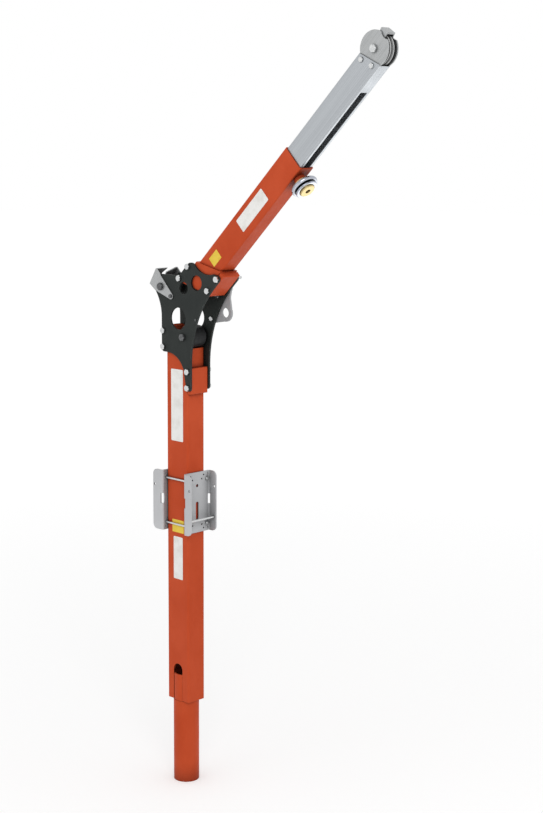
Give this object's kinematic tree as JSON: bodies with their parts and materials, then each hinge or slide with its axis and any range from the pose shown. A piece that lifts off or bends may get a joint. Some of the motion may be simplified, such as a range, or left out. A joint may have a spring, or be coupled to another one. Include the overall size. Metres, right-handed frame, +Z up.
{
  "type": "davit crane",
  "caption": "Portable davit crane: round spigot, rectangular mast with winch plates, bolted elbow plates, fixed slanted jib and a telescoping boom with a clamp wheel and a sheave head.",
  "frame": {"origin": "middle of the spigot's lower end", "axes": "+Z up along the mast, +X the way the jib reaches, Y across the elbow plates"},
  "size_m": [0.8705, 0.1075, 2.1861],
  "materials": {
    "orange_paint": "satin powder coat",
    "black_paint": "satin powder coat",
    "zinc_steel": "zinc plated",
    "black_oxide": "black oxide",
    "bright_steel": "brushed",
    "grey_paint": "satin",
    "aluminium": "drawn, clear anodised",
    "black_nylon": "turned nylon",
    "grey_nylon": "turned nylon",
    "bronze": "plain bearing",
    "brass": "turned",
    "chrome": "polished"
  },
  "bodies": {
    "mast": {"spigot_pipe": "orange_paint", "mast_tube": "orange_paint", "mast_front_block": "orange_paint", "jib_sleeve": "orange_paint", "jib_tube": "orange_paint", "jib_block": "orange_paint", "clamp_boss": "orange_paint", "elbow_plate_near": "black_paint", "elbow_plate_far": "black_paint", "mast_rear_bolts": "zinc_steel", "mast_front_bolts": "zinc_steel", "jib_lower_bolts": "zinc_steel", "jib_upper_bolts": "zinc_steel", "cross_bolt_nuts": "zinc_steel", "front_roller_collars": "zinc_steel", "rear_roller_collars": "zinc_steel", "anchor_lug_bolts": "zinc_steel", "anchor_lug_nuts": "zinc_steel", "winch_clamp_rods": "zinc_steel", "winch_clamp_nuts": "zinc_steel", "front_hook_bar": "zinc_steel", "front_roller_axle": "black_oxide", "front_roller_nut": "black_oxide", "rear_roller_axle": "black_oxide", "rear_roller_nut": "black_oxide", "cable_keeper_screws": "black_oxide", "near_plate_screw": "black_oxide", "cable_keeper": "bright_steel", "front_winch_plate": "grey_paint", "rear_winch_plate": "grey_paint", "anchor_lug": "grey_paint"},
    "front_roller": {"front_roller": "black_nylon", "front_roller_bush": "bronze"},
    "rear_roller": {"rear_roller": "black_nylon", "rear_roller_bush": "bronze"},
    "boom": {"boom_tube": "aluminium", "head_plate_near": "bright_steel", "head_plate_far": "bright_steel", "head_screws": "zinc_steel", "head_axle": "zinc_steel", "head_axle_nut": "zinc_steel", "head_washers": "zinc_steel", "head_keeper_strap": "zinc_steel"},
    "sheave": {"head_sheave": "grey_nylon", "head_sheave_bush": "bronze"},
    "clamp_wheel": {"clamp_wheel": "chrome", "clamp_hub": "brass"},
    "clamp_stud": {"clamp_stud": "zinc_steel"}
  },
  "joints": [
    {"name": "boom_slide", "type": "slide", "parent": "mast", "child": "boom", "axis": [0.7193, 0, 0.6947], "range_m": [-0.3, 0]},
    {"name": "front_roller_spin", "type": "hinge", "parent": "mast", "child": "front_roller", "pos_m": [0.032, 0, 1.348], "axis": [0, 1, 0], "continuous": true},
    {"name": "rear_roller_spin", "type": "hinge", "parent": "mast", "child": "rear_roller", "pos_m": [-0.0585, 0, 1.488], "axis": [0, 1, 0], "continuous": true},
    {"name": "sheave_spin", "type": "hinge", "parent": "boom", "child": "sheave", "pos_m": [0.7174, 0, 2.1343], "axis": [0, 1, 0], "continuous": true},
    {"name": "clamp_wheel_turn", "type": "hinge", "parent": "mast", "child": "clamp_wheel", "pos_m": [0.46177, 0, 1.79152], "axis": [-0.6947, 0, 0.7193], "range_deg": [0, 360]},
    {"name": "clamp_stud_slide", "type": "slide", "parent": "mast", "child": "clamp_stud", "axis": [-0.6947, 0, 0.7193], "range_m": [0, 0.00175]}
  ],
  "couplings": [
    {"joint": "clamp_stud_slide", "follows": "clamp_wheel_turn", "m_per_rad": 0.00027852}
  ]
}
